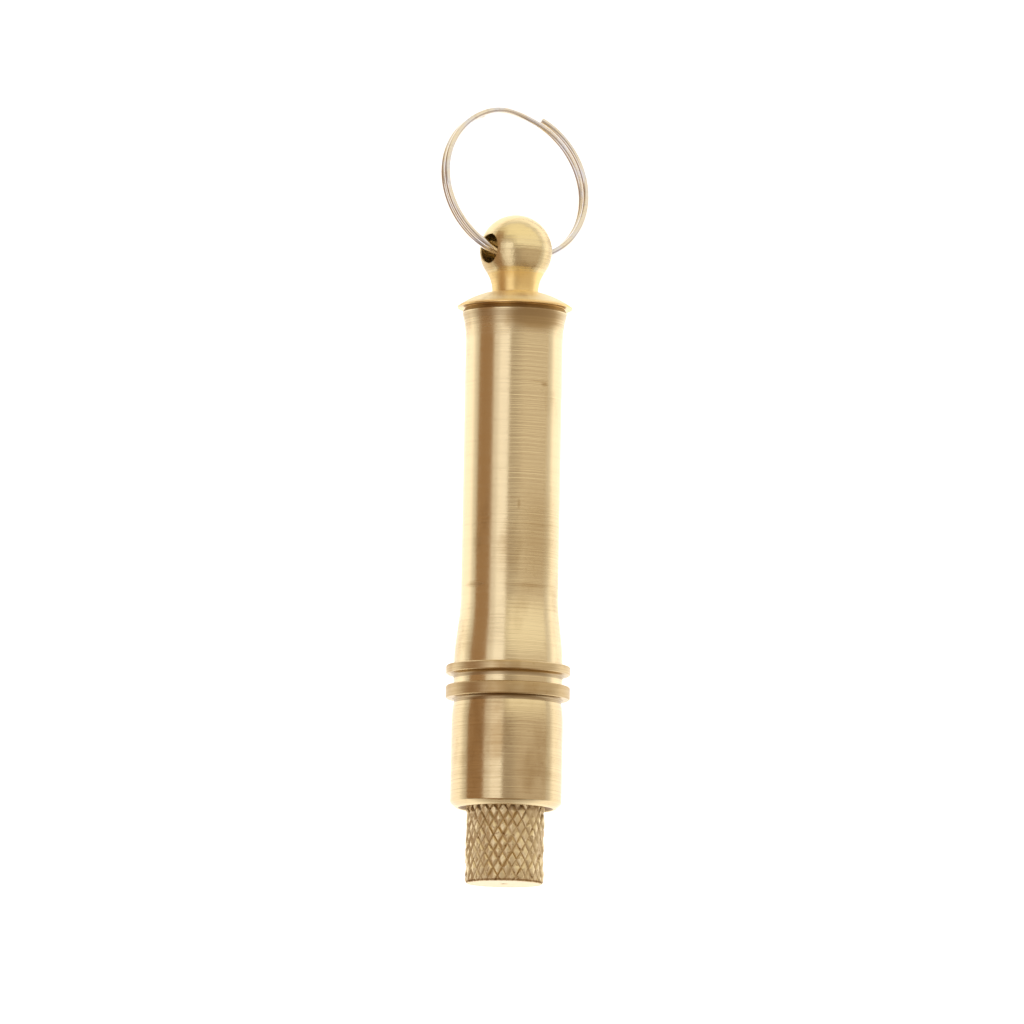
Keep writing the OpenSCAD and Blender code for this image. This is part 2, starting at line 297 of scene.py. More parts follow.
def brass(name, colour=(0.87, 0.72, 0.44, 1), tarnish_shade_colour=(0.52, 0.36, 0.17, 1), rough=0.19,
          line_depth=1.0, cloud=0.4, dullness_and_shade=0.06, lumps=0.0, rougher=(), marks=(), brown_bands=(),
          recoloured=()):
    """Turned yellow brass, handled and a little oxidised. Its overall darkening is light oxide, and
    painted shade where it is raised. rougher holds (start, end, roughness, tarnish) of bands along
    the tool, marks holds (place, half sizes, depth) of darker patches, stains and painted shade,
    and the brown bands hold (start, end, radius, depth) of bands painted dark brown inside a
    radius, most of them painted shade in coves and recesses. The bands of another colour hold
    (start, end, colour), among them a painted highlight and a painted reflection."""
    material, start, place = finish_base(name)
    fine = turning_lines(place, 7.0, 2.0, 0.2)
    broad = turning_lines(place, 1.1, 2.0, 0.6)
    along = place.part("Y")
    feed = place.math("SINE", along * 12.6 + mottle(place, 0.4, 1.0) * 5.0, 0.0)
    stain = mottle(place, 0.22, 3.0, (1, 0.45, 1)).rise(0.5, 0.72) * cloud
    streak = mottle(place, 1.0, 2.0, (0.35, 3.2, 0.35)).rise(0.55, 0.8) * (0.3 * cloud)
    speck = mottle(place, 2.6, 3.0).rise(0.60, 0.72) * (0.3 * cloud)
    # Tarnish, with painted shade added by some marks and by the overall darkening where it is
    # raised.
    tarnish_and_shade = (dullness_and_shade + stain + streak + speck + feed * (0.025 * line_depth)
               + (fine - 0.5) * 0.4 * line_depth + (broad - 0.5) * 0.2)
    roughness = rough + (fine - 0.5) * 0.12 * line_depth + (broad - 0.5) * 0.12 + stain * 0.10
    for band_start, band_end, band_rough, band_tarnish in rougher:
        band = along.within(band_start, band_end, 0.08)
        roughness = roughness + band * (band_rough - rough)
        tarnish_and_shade = tarnish_and_shade + band * band_tarnish
    for at, size, depth in marks:
        spot = mark(place, at, size)
        tarnish_and_shade = tarnish_and_shade + spot * depth
        roughness = roughness + spot * (0.2 * depth)
    # Bands of another colour, among them a painted highlight and a painted reflection.
    before_tarnish = colour
    for band_start, band_end, shade in recoloured:
        before_tarnish = along.within(band_start, band_end, 0.2).colours(before_tarnish, shade)
    base = tarnish_and_shade.rise(0.0, 1.0).colours(before_tarnish, tarnish_shade_colour)
    # Bands painted dark brown inside a radius: painted shade in coves and recesses.
    if brown_bands:
        across = (place.part("X") ** 2 + place.part("Z") ** 2) ** 0.5
        brown_mask = 0.0
        for band_start, band_end, radius, depth in brown_bands:
            inside = across.rise(radius + 0.06, radius - 0.06)
            brown_mask = along.within(band_start, band_end, 0.06) * inside * depth + brown_mask
        base = (brown_mask * (0.7 + 0.6 * fine)).colours(base, (0.20, 0.11, 0.05, 1))
        roughness = roughness + brown_mask * 0.25
    grooves = start.node("ShaderNodeBump", {}, {
        "Strength": 1.0, "Distance": 0.012 * MM,
        "Height": (fine * 0.9 + feed * 0.12) * line_depth + broad * 0.4
                  + mottle(place, 1.5, 2.0) * lumps})
    surface = start.node("ShaderNodeBsdfPrincipled", {}, {
        "Base Color": base, "Metallic": 1.0, "Roughness": roughness, "Normal": grooves})
    start.node("ShaderNodeOutputMaterial", {}, {"Surface": surface})
    return material


def arc_outline(centre, radius, start, end, steps):
    """Outline points of an arc, its angles in degrees from the radius axis."""
    return [(centre[0] + radius * math.cos(math.radians(start + (end - start) * i / steps)),
             centre[1] + radius * math.sin(math.radians(start + (end - start) * i / steps)), 0.0)
            for i in range(steps + 1)]


barrel_len = (barrel_high.y - barrel_low.y) / MM
grip_r, swell_r, collar_r, flare_r = 5.5, 6.15, 7.0, 5.93
collar_at, swell_at, grip_at = 1.3, 2.3, 10.3
flare_at = barrel_len - 3.1
bend_r = (3.1 ** 2 + (flare_r - grip_r) ** 2) / (2 * (flare_r - grip_r))
bend = math.degrees(math.asin(3.1 / bend_r))
bore_r, sleeve_r, plug_r = 3.0, 4.2, 3.5
cove_r, collar_edge = 0.45, 0.12


def collar_outline(start, end):
    """Outline points of a collar's outside, its edges broken and a little worn."""
    return [(collar_r - collar_edge, start, 0.04), (collar_r, start + collar_edge, 0.05),
            (collar_r, end - collar_edge, 0.05), (collar_r - collar_edge, end, 0.04)]


barrel_outline = (
    [(sleeve_r, 0, 0), (swell_r, 0, 0.05)]
    + arc_outline((swell_r + cove_r, collar_at - cove_r), cove_r, 180, 90, 10)
    + collar_outline(collar_at, swell_at)
    + ogee(swell_r, grip_r, swell_at, 8.0, 40)
    + arc_outline((grip_r + bend_r, flare_at), bend_r, 180, 180 - bend, 14)
    + [(plug_r, barrel_len, 0.05), (plug_r, barrel_len - 7.8, 0), (bore_r, barrel_len - 7.8, 0),
       (bore_r, 8.0, 0), (sleeve_r, 8.0, 0)])
barrel_from_end = (barrel_low.y - head_low.y) / MM
barrel_brass = brass(
    "barrel_brass",
    rougher=[(barrel_from_end + collar_at - 0.02, barrel_from_end + swell_at, 0.36, 0.46),
             (barrel_from_end + swell_at + 0.1, barrel_from_end + grip_at + 0.15, 0.19, -0.03),
             (barrel_from_end + flare_at + 0.2, barrel_from_end + barrel_len - 0.15, 0.24, 0.1)],
    # Darker patches: small stains, a broad darker patch on the right of the grip, and the last one
    # painted shade on the flare under the cap.
    marks=[((3.5, 56.2, 4.3), (0.34, 0.2, 1.0), 0.5), ((2.7, 56.5, 4.8), (0.9, 0.12, 1.0), 0.35),
           ((0.85, 42.5, 5.4), (0.16, 0.5, 1.0), 0.4), ((0.1, 43.2, 5.5), (0.6, 0.12, 1.0), 0.35),
           ((-3.9, 33.5, 3.9), (1.2, 0.35, 1.5), 0.45), ((2.4, 33.3, 5.1), (2.7, 0.2, 1.5), 0.3),
           ((3.2, 38.5, 4.4), (2.5, 6.0, 3.0), 0.45), ((2.7, 63.9, 4.8), (3.3, 1.3, 2.5), 1.0)],
    # Painted shade, dark brown: in the cove under the collar, and on the flare's end under the cap
    # in two graded bands. Darker inside the bore where the cap's plug sits.
    brown_bands=[(barrel_from_end + collar_at - cove_r - 0.1, barrel_from_end + collar_at - 0.02,
            collar_r - 0.2, 0.5),
           (barrel_from_end + barrel_len - 7.0, barrel_from_end + barrel_len, plug_r + 0.2, 0.3),
           (barrel_from_end + barrel_len - 1.7, barrel_from_end + barrel_len - 0.1, 7.0, 0.12),
           (barrel_from_end + barrel_len - 0.9, barrel_from_end + barrel_len - 0.1, 7.0, 0.14)])
barrel = made_piece("barrel", turned(barrel_outline, barrel_low.y), barrel_brass)
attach(barrel, "handle")
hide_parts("barrel")


# ---------------------------------------------------------------------------------------------
# Ferrule: the brass end piece that screws into the barrel. It has the lower collar, a waist and a
# bevelled mouth, and a recess in which the knurled head turns.
ferrule_low, ferrule_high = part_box("ferrule")
ferrule_r, waist_r, recess_r, bush_seat_r = 6.3, 6.0, 4.8, 3.4
recess_depth, mouth_bevel = 2.3, 0.6
waist_at, seam_at = 12.4, 13.85
bearing_depth = 11.3
sleeve_len = 8.0
waist_len = 3.1
hollow_r = (waist_len ** 2 + (ferrule_r - waist_r) ** 2) / (2 * (ferrule_r - waist_r))
hollow = math.degrees(math.asin((waist_len - cove_r) / hollow_r))
ferrule_outline = (
    [(recess_r + mouth_bevel, 0, 0.06), (ferrule_r - 0.7, 0, 0.06),
     (ferrule_r, mouth_bevel, 0.10)]
    + arc_outline((ferrule_r - hollow_r, waist_at - waist_len), hollow_r, 0, hollow, 24)
    + arc_outline((waist_r + cove_r, waist_at - cove_r), cove_r, 180, 90, 10)
    + collar_outline(waist_at, seam_at)
    + [(sleeve_r - 0.01, seam_at, 0), (sleeve_r - 0.01, seam_at + sleeve_len - 0.3, 0),
       (sleeve_r - 0.31, seam_at + sleeve_len, 0), (bore_r, seam_at + sleeve_len, 0.05),
       (bore_r, bearing_depth, 0), (bush_seat_r, bearing_depth, 0),
       (bush_seat_r, recess_depth, 0.05), (recess_r, recess_depth, 0.08),
       (recess_r, mouth_bevel, 0.06)])
ferrule_from_end = (ferrule_low.y - head_low.y) / MM
ferrule_brass = brass(
    # The even darkening of the whole ferrule is painted shade, for its darker surroundings; the
    # band at the mouth lifts it off the mouth's face.
    "ferrule_brass", dullness_and_shade=0.34, rough=0.17,
    rougher=[(ferrule_from_end + waist_at, ferrule_from_end + seam_at + 0.3, 0.36, 0.3),
             (ferrule_from_end - 1.0, ferrule_from_end + 0.1, 0.25, -0.36)],
    # Painted shade, dark brown: in the cove under the collar, and inside the mouth where the head
    # turns.
    brown_bands=[(ferrule_from_end + waist_at - cove_r - 0.1, ferrule_from_end + waist_at - 0.02,
            collar_r - 0.2, 0.5),
           (ferrule_from_end + 0.04, ferrule_from_end + recess_depth + 1.0,
            recess_r + mouth_bevel - 0.05, 0.85)])
ferrule = made_piece("ferrule", turned(ferrule_outline, ferrule_low.y), ferrule_brass)
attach(ferrule, "handle")
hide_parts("ferrule")


# ---------------------------------------------------------------------------------------------
# Finial cap: brass, screwed into the barrel's other end. A sharp-edged dome, a neck and a ball,
# cross-drilled for the key ring. Its plug is bored at the bottom for the felt pad.
cap_low, cap_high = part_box("finial_cap")
plug_len, seat_h, rim_edge, rim_r = 7.8, 0.55, 0.15, 6.5
dome_h, dome_curve, neck_r, ball_r = 1.8, 9.9, 2.6, 4.1
neck_len, neck_curve = 0.1, 4.0
cap_len = (cap_high.y - cap_low.y) / MM
ball_at = cap_len - ball_r
dome_at = plug_len + seat_h
neck_at = dome_at + dome_h
edge_point = (rim_r, dome_at + rim_edge)
foot_point = (neck_r + 0.3, neck_at)
chord = (edge_point[0] - foot_point[0], edge_point[1] - foot_point[1])
tilt = math.degrees(math.atan2(-chord[1], chord[0]))
half_turn = math.degrees(math.asin(math.hypot(*chord) / 2 / dome_curve))
dome_from = math.radians(90 - tilt - half_turn)
dome_centre = (edge_point[0] - dome_curve * math.cos(dome_from),
               edge_point[1] - dome_curve * math.sin(dome_from))
ball_leaves = math.degrees(math.acos((neck_r + neck_curve) / (ball_r + neck_curve)))
seat_cut = 0.33
pad_pocket = 2.55
cap_outline = (
    [(0, pad_pocket, 0), (2.5, pad_pocket, 0), (2.5, 0, 0), (plug_r - 0.41, 0, 0),
     (plug_r - 0.01, 0.4, 0), (plug_r - 0.01, plug_len, 0), (flare_r, plug_len, 0.04),
     (flare_r - seat_cut, dome_at, 0.05), (rim_r, dome_at, 0.04)]
    + arc_outline(dome_centre, dome_curve, 90 - tilt - half_turn, 90 - tilt + half_turn, 28)
    + [(neck_r, neck_at + 0.05, 0.0)]
    + arc_outline((neck_r + neck_curve, neck_at + neck_len), neck_curve, 180, 181 - ball_leaves, 24)
    + arc_outline((0, ball_at), ball_r, -ball_leaves, 90, 80))
cap_work = turned(cap_outline, cap_low.y, closed=False)


def drilled(work, cutter):
    """The mesh with the cutter's shape taken out of it."""
    bmesh.ops.remove_doubles(work, verts=work.verts, dist=0.0005 * MM)
    bmesh.ops.recalc_face_normals(work, faces=work.faces)
    bmesh.ops.remove_doubles(cutter, verts=cutter.verts, dist=0.0005 * MM)
    bmesh.ops.recalc_face_normals(cutter, faces=cutter.faces)
    blocks = []
    for label, shape in (("blank", work), ("drill", cutter)):
        mesh = bpy.data.meshes.new(label)
        shape.to_mesh(mesh)
        shape.free()
        blocks.append(bpy.data.objects.new(label, mesh))
        bpy.context.scene.collection.objects.link(blocks[-1])
    cut = blocks[0].modifiers.new("cut", "BOOLEAN")
    cut.operation, cut.solver, cut.object = "DIFFERENCE", "EXACT", blocks[1]
    seen = bpy.context.evaluated_depsgraph_get()
    result = bmesh.new()
    result.from_mesh(blocks[0].evaluated_get(seen).to_mesh())
    for block in blocks:
        bpy.data.objects.remove(block)
    return result


def drill(centre, axis, outline, steps):
    """A turned cutter. The outline is (radius, distance either side of centre) in mm."""
    cutter = bmesh.new()
    corners = [cutter.verts.new((r * MM, 0, along * MM)) for r, along in outline]
    for pair in zip(corners, corners[1:]):
        cutter.edges.new(pair)
    bmesh.ops.spin(cutter, geom=cutter.verts[:] + cutter.edges[:], cent=(0, 0, 0), axis=(0, 0, 1),
                   angle=2 * math.pi, steps=steps, use_merge=True)
    turn = Vector(axis).to_track_quat("Z", "Y").to_matrix().to_4x4()
    bmesh.ops.transform(cutter, matrix=Matrix.Translation(centre) @ turn, verts=cutter.verts)
    return cutter


ball_centre = Vector((axis_x, cap_low.y + ball_at * MM, axis_z))
eye_r = 1.608
mouth_at = math.sqrt(ball_r ** 2 - eye_r ** 2)
eye_axis = next(j for j in frame["joints"] if j["name"] == "ring_swing")["axis"]
eye_outline = [(0, -6), (eye_r + 0.5, -6), (eye_r + 0.5, -mouth_at - 0.35),
               (eye_r + 0.16, -mouth_at + 0.02), (eye_r + 0.04, -mouth_at + 0.14),
               (eye_r, -mouth_at + 0.32)]
eye_outline += [(r, -along) for r, along in reversed(eye_outline)]
cap_work = drilled(cap_work, drill(ball_centre, eye_axis, eye_outline, 96))
cap_from_end = (cap_low.y - head_low.y) / MM
cap_brass = brass(
    "cap_brass", colour=(0.87, 0.72, 0.41, 1), rough=0.23, cloud=0.5, line_depth=0.8, lumps=2.2,
    rougher=[(cap_from_end + dome_at + 0.1, cap_from_end + neck_at - 0.1, 0.46, -0.12),
             (cap_from_end + neck_at, cap_from_end + neck_at + 2.2, 0.34, -0.1),
             (cap_from_end + neck_at + 2.4, cap_from_end + ball_at - 0.2, 0.24, 0.22)],
    # Painted highlight: orange on the rim's lower edge. Painted reflection of the dome: gold on the
    # neck. The dome between them is paler.
    recoloured=[(cap_from_end + dome_at - 0.1, cap_from_end + dome_at + 0.3, (1.0, 0.72, 0.32, 1)),
            (cap_from_end + dome_at + 0.4, cap_from_end + neck_at - 0.1,
             (0.97, 0.84, 0.55, 1)),
            (cap_from_end + neck_at, cap_from_end + neck_at + 2.2, (1.0, 0.74, 0.32, 1))],
    # Painted shade, dark brown: on the seat under the flange.
    brown_bands=[(cap_from_end + plug_len - 0.1, cap_from_end + dome_at - 0.03, rim_r - 0.05, 0.75)])
cap = made_piece("finial_cap", cap_work, cap_brass)
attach(cap, "handle")
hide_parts("finial_cap")


# ---------------------------------------------------------------------------------------------
# Key ring: two springy turns of thin steel wire through the ball, sprung open on one side. The
# wire steps across from one turn to the other, and both its ends are cut off blunt.
ring_r, wire_r = 8.85, 0.35
ring_start, ring_sweep = 66, 675
cross_from, cross_to = 315, 357
ring_slip, ring_lift, ring_sag_share = 0.17, 0.27, 0.83
ring_yaw, ring_cant, ring_swing, eye_turn = -6.5, 4.0, 12.6855, 35.0
ring_steps = 450


def wire_centre(s):
    """The wire's centre after s degrees, in the ring's plane (X and Z) and across it (Y)."""
    angle = ring_start - s
    share = min(1, max(0, (s - cross_from) / (cross_to - cross_from)))
    across = 0.5 - share * share * (3 - 2 * share)
    gap = 2 * wire_r + 0.25 + 0.2 * math.cos(math.radians(angle - 45))
    return Vector((ring_r * math.cos(math.radians(angle)), -across * gap,
                   ring_r * math.sin(math.radians(angle))))


ring_sag = ring_r - math.sqrt(ring_r ** 2 - ball_r ** 2)
ring_seat = Matrix.Translation((ring_slip, -ring_lift, ring_r - ring_sag_share * ring_sag))
lay = Matrix.Rotation(math.radians(-90), 4, "X")
ring_place = (Matrix.Translation(ball_centre) @ Matrix.Scale(MM, 4) @ lay
              @ Matrix.Rotation(math.radians(eye_turn), 4, "Z")
              @ Matrix.Rotation(math.radians(-ring_swing), 4, "X")
              @ Matrix.Rotation(math.radians(ring_cant), 4, "Y")
              @ Matrix.Rotation(math.radians(ring_yaw), 4, "Z") @ ring_seat)
wire_line = bpy.data.curves.new("wire_line", "CURVE")
wire_line.dimensions = "3D"
wire_line.bevel_depth = wire_r * MM
wire_line.bevel_resolution = 6
wire_line.use_fill_caps = True
wire_line.twist_mode = "MINIMUM"
run = wire_line.splines.new("POLY")
run.points.add(ring_steps)
for i, point in enumerate(run.points):
    point.co = (*(ring_place @ wire_centre(ring_sweep * i / ring_steps)), 1)
run.points[0].radius = run.points[-1].radius = 0.86
wire_object = bpy.data.objects.new("wire_line", wire_line)
bpy.context.scene.collection.objects.link(wire_object)
ring_work = bmesh.new()
ring_work.from_mesh(wire_object.evaluated_get(bpy.context.evaluated_depsgraph_get()).to_mesh())
bpy.data.objects.remove(wire_object)

ring_steel, ring_start_wire, ring_point = finish_base("ring_steel")
tempering = mottle(ring_point, 0.45, 2.0).rise(0.35, 0.7)
heat_tint = tempering.colours((0.86, 0.77, 0.64, 1), (0.78, 0.77, 0.82, 1))
drawn_lines = mottle(ring_point, 3.0, 3.0)
ring_surface = ring_start_wire.node("ShaderNodeBsdfPrincipled", {}, {
    "Base Color": (drawn_lines.rise(0.5, 0.85) * 0.4).colours(heat_tint, (0.42, 0.35, 0.28, 1)),
    "Metallic": 1.0, "Roughness": 0.04 + drawn_lines * 0.05})
ring_start_wire.node("ShaderNodeOutputMaterial", {}, {"Surface": ring_surface})
ring = made_piece("split_ring", ring_work, ring_steel, sharp=45)
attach(ring, "key_ring")
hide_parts("split_ring")


# ---------------------------------------------------------------------------------------------
# Knurled head: brass, pressed on the pin. Two rollers crossed a diamond knurl over its whole
# length, and both ends were chamfered afterwards. Use has flattened many of the points.
head_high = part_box("knurled_head")[1]
head_len = (head_high.y - head_low.y) / MM
head_r, knurl_depth, head_chamfer = 4.5, 0.28, 0.3
knurl_starts, knurl_period = 25, 1.85
knurl_rows = math.ceil(head_len / knurl_period) + 2
valley_r = head_r - knurl_depth
knurl = bmesh.new()
column = [knurl.verts.new((axis_x + valley_r * MM, head_low.y + (i - 0.7) * knurl_period * MM,
                           axis_z)) for i in range(knurl_rows + 1)]
for pair in zip(column, column[1:]):
    knurl.edges.new(pair)
bmesh.ops.spin(knurl, geom=knurl.verts[:] + knurl.edges[:], cent=(axis_x, 0, axis_z),
               axis=(0, 1, 0), angle=2 * math.pi, steps=knurl_starts, use_merge=True)
bmesh.ops.remove_doubles(knurl, verts=knurl.verts, dist=0.01 * MM)
bmesh.ops.recalc_face_normals(knurl, faces=knurl.faces)


def set_radius(vert, radius):
    """Moves a vertex straight out from the axis, to a radius in mm."""
    out = Vector((vert.co.x - axis_x, 0, vert.co.z - axis_z)).normalized() * radius * MM
    vert.co.x, vert.co.z = axis_x + out.x, axis_z + out.z


rows_and_columns = [edge for edge in knurl.edges if not edge.is_boundary]
poked = bmesh.ops.poke(knurl, faces=knurl.faces[:])
bmesh.ops.dissolve_edges(knurl, edges=rows_and_columns, use_verts=False)
for vert in knurl.verts:
    set_radius(vert, valley_r)
bmesh.ops.recalc_face_normals(knurl, faces=knurl.faces)
diamonds = [face for face in knurl.faces if len(face.verts) == 4]
bmesh.ops.inset_individual(knurl, faces=diamonds, thickness=0.17 * MM, depth=knurl_depth * MM,
                           use_even_offset=True)
wear = random.Random(7)
for face in diamonds:
    middle = face.calc_center_median()
    toward_right = (middle.x - axis_x) / (head_r * MM)
    crushed = wear.uniform(0.0, 0.10) + (wear.uniform(0.0, 0.14) if toward_right > 0.55 else 0)
    shift = Vector((0, wear.uniform(-0.10, 0.10) * MM, 0))
    spread = 1 + wear.uniform(-0.45, 0.2)
    lean_along, lean_round = wear.uniform(-0.16, 0.16), wear.uniform(-0.16, 0.16)
    round_way = Vector((middle.z - axis_z, 0, axis_x - middle.x)).normalized()
    for vert in face.verts:
        away = (vert.co - middle) * spread
        leaning = (away.y * lean_along + away.dot(round_way) * lean_round) / MM
        vert.co = middle + away + shift
        set_radius(vert, head_r - max(0.0, crushed + leaning + wear.uniform(0.0, 0.08)))
crests = [edge for face in diamonds for edge in face.edges]
bmesh.ops.bevel(knurl, geom=crests, offset=0.07 * MM, segments=3, profile=0.5, affect="EDGES",
                clamp_overlap=True, material=-1)
for cut_at, keeps_above in ((0.0, True), (head_len, False)):
    away = -1 if keeps_above else 1
    bmesh.ops.bisect_plane(knurl, geom=knurl.verts[:] + knurl.edges[:] + knurl.faces[:],
                           dist=0.0001 * MM, plane_co=(0, head_low.y + cut_at * MM, 0),
                           plane_no=(0, away, 0), clear_outer=True)
    bmesh.ops.bisect_plane(knurl, geom=knurl.verts[:] + knurl.edges[:] + knurl.faces[:],
                           dist=0.0001 * MM, plane_no=(0, away, 0),
                           plane_co=(0, head_low.y + (cut_at - away * head_chamfer) * MM, 0))
for vert in knurl.verts:
    along = (vert.co.y - head_low.y) / MM
    radius = math.hypot(vert.co.x - axis_x, vert.co.z - axis_z) / MM
    limit = head_r - head_chamfer + min(along, head_len - along, head_chamfer)
    if radius > limit:
        set_radius(vert, limit)


def step_in(work, rim, radius, along):
    """Draws a rim of edges to a new radius and distance, in mm, and returns the new rim."""
    grown = bmesh.ops.extrude_edge_only(work, edges=rim)["geom"]
    for vert in (item for item in grown if isinstance(item, bmesh.types.BMVert)):
        vert.co.y = head_low.y + along * MM
        set_radius(vert, radius)
    return [item for item in grown if isinstance(item, bmesh.types.BMEdge) and item.is_boundary]


socket_r, socket_at = 2.26, 3.3
for end_at, path in ((0.0, ((3.9, 0.0), (0.5, 0.02), (0.25, 0.16))),
                     (head_len, ((socket_r + 0.1, head_len), (socket_r, head_len - 0.1),
                                 (socket_r, socket_at)))):
    rim = [edge for edge in knurl.edges if edge.is_boundary
           and abs((edge.verts[0].co.y - head_low.y) / MM - end_at) < 0.01]
    for radius, along in path:
        rim = step_in(knurl, rim, radius, along)
    bmesh.ops.holes_fill(knurl, edges=rim, sides=0)

knurl_brass, head_start, head_point = finish_base("knurl_brass")
out_x, out_z = head_point.part("X"), head_point.part("Z")
out_r = (out_x * out_x + out_z * out_z) ** 0.5
valley = out_r.rise(head_r - 0.12, valley_r)
on_side = head_point.part("Y").rise(0.02, 0.12)
pits = mottle(head_point, 2.4, 3.0).rise(0.60, 0.70)
# Darker in the knurl's valleys.
valley_dark = valley * on_side
head_mottle = mottle(head_point, 1.6, 3.0)
chamfer_line = head_point.part("Y").within(0.08, 0.26, 0.04)
head_dark = valley_dark * (0.15 + 0.6 * head_mottle) + pits * on_side * 0.5 + chamfer_line * 0.6
head_tone = head_dark.colours((0.83, 0.68, 0.41, 1), (0.36, 0.21, 0.09, 1))
tool_marks = mottle(head_point, 3.4, 3.0) - 0.5 * pits
head_bump = head_start.node("ShaderNodeBump", {}, {
    "Strength": 1.0, "Distance": 0.055 * MM, "Height": tool_marks})
head_surface = head_start.node("ShaderNodeBsdfPrincipled", {}, {
    "Base Color": head_tone, "Metallic": 1.0,
    "Roughness": 0.26 + 0.14 * head_mottle + 0.15 * valley_dark, "Normal": head_bump})
head_start.node("ShaderNodeOutputMaterial", {}, {"Surface": head_surface})
head = made_piece("knurled_head", knurl, knurl_brass, sharp=25)
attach(head, "spindle")
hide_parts("knurled_head")


# ---------------------------------------------------------------------------------------------
# Winding pin: a ground steel rod pressed into the head. It has a groove for the rubber ring, a
# thinner end for winding, and a hole across its tip for the string.
pin_low, pin_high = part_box("winding_pin")
pin_len = (pin_high.y - pin_low.y) / MM
pin_from_end = (pin_low.y - head_low.y) / MM
journal_r, coil_r, tip_round = 2.25, 2.0, 0.8
groove_at, groove_w, groove_r = 15.3 - pin_from_end, 1.0, 1.595
shoulder_at = 21.8 - pin_from_end
pin_outline = (
    [(0, 0, 0), (journal_r - 0.3, 0, 0.05), (journal_r, 0.29, 0.05),
     (journal_r, groove_at - groove_w / 2, 0.06), (groove_r, groove_at - groove_w / 2, 0.08),
     (groove_r, groove_at + groove_w / 2, 0.08), (journal_r, groove_at + groove_w / 2, 0.06),
     (journal_r, shoulder_at - journal_r + coil_r, 0.06), (coil_r, shoulder_at, 0.04)]
    + arc_outline((coil_r - tip_round, pin_len - tip_round), tip_round, 0, 90, 16)
    + [(0, pin_len, 0)])
string_hole_r = 0.6
hole_at = Vector((axis_x, head_low.y + 55 * MM, axis_z))
hole_outline = [(0, -3), (string_hole_r + 0.7, -3), (string_hole_r + 0.22, -coil_r + 0.02),
                (string_hole_r + 0.05, -coil_r + 0.14), (string_hole_r, -coil_r + 0.3)]
hole_outline += [(r, -along) for r, along in reversed(hole_outline)]
pin_work = drilled(turned(pin_outline, pin_low.y, steps=128, closed=False),
                   drill(hole_at, (1, 0, 0), hole_outline, 48))
pin_steel, pin_start, pin_point = finish_base("pin_steel")
ground = turning_lines(pin_point, 12.0, 3.0, 0.3)
pin_haze = mottle(pin_point, 0.35, 3.0, (1, 0.5, 1)).rise(0.45, 0.75)
pin_bump = pin_start.node("ShaderNodeBump", {}, {
    "Strength": 1.0, "Distance": 0.003 * MM, "Height": ground})
pin_surface = pin_start.node("ShaderNodeBsdfPrincipled", {}, {
    "Base Color": (pin_haze * 0.6 + (ground - 0.5) * 0.3).rise(0.0, 1.0).colours(
        (0.62, 0.61, 0.60, 1), (0.40, 0.36, 0.31, 1)),
    "Metallic": 1.0, "Roughness": 0.22 + 0.12 * pin_haze + (ground - 0.5) * 0.08,
    "Normal": pin_bump})
pin_start.node("ShaderNodeOutputMaterial", {}, {"Surface": pin_surface})
pin = made_piece("winding_pin", pin_work, pin_steel)
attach(pin, "spindle")
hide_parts("winding_pin")


# ---------------------------------------------------------------------------------------------
# Rubber ring: moulded nitrile in the pin's groove. It drags in the bush and holds the spindle
# wherever it is pushed or drawn to.
oring_low, oring_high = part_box("o_ring")
oring_wire_r = (oring_high.y - oring_low.y) / 2
oring_path_r = (oring_high.x - oring_low.x) / 2 - oring_wire_r
oring_work = bmesh.new()
section = bmesh.ops.create_circle(oring_work, segments=32, radius=oring_wire_r)["verts"]
bmesh.ops.translate(oring_work, verts=section, vec=(
    axis_x + oring_path_r, (oring_low.y + oring_high.y) / 2, axis_z))
bmesh.ops.spin(oring_work, geom=oring_work.verts[:] + oring_work.edges[:],
               cent=(axis_x, 0, axis_z), axis=(0, 1, 0), angle=2 * math.pi, steps=96,
               use_merge=True)
black_rubber, rubber_start, rubber_point = finish_base("black_rubber")
bloom = mottle(rubber_point, 1.4, 3.0)
rubber_grain = mottle(rubber_point, 14.0, 2.0)
rubber_bump = rubber_start.node("ShaderNodeBump", {}, {
    "Strength": 1.0, "Distance": 0.01 * MM, "Height": rubber_grain})
rubber_surface = rubber_start.node("ShaderNodeBsdfPrincipled", {}, {
    "Base Color": bloom.rise(0.4, 0.8).colours((0.012, 0.012, 0.013, 1), (0.035, 0.034, 0.033, 1)),
    "Roughness": 0.45 + 0.25 * bloom, "Normal": rubber_bump})
rubber_start.node("ShaderNodeOutputMaterial", {}, {"Surface": rubber_surface})
rubber_ring = made_piece("o_ring", oring_work, black_rubber)
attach(rubber_ring, "drag_ring")
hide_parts("o_ring")


# ---------------------------------------------------------------------------------------------
# Thrust washer: stamped steel at the bottom of the recess. The head bears on it.
washer_low, washer_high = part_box("thrust_washer")
washer_t = (washer_high.y - washer_low.y) / MM
washer_r, washer_hole_r = (washer_high.x - washer_low.x) / 2 / MM, 2.4
washer_outline = [(washer_hole_r, 0, 0.06), (washer_r, 0, 0.10), (washer_r, washer_t, 0.04),
                  (washer_hole_r, washer_t, 0.04)]
washer_steel, washer_start, washer_point = finish_base("washer_steel")
rubbed = mottle(washer_point, 2.2, 3.0)
washer_across = (washer_point.part("X") ** 2 + washer_point.part("Z") ** 2) ** 0.5
rings_worn = washer_start.node("ShaderNodeTexNoise", {"noise_dimensions": "1D"}, {
    "W": washer_across * 7.0, "Scale": 1.0, "Detail": 2.0})
washer_bump = washer_start.node("ShaderNodeBump", {}, {
    "Strength": 1.0, "Distance": 0.004 * MM, "Height": rings_worn})
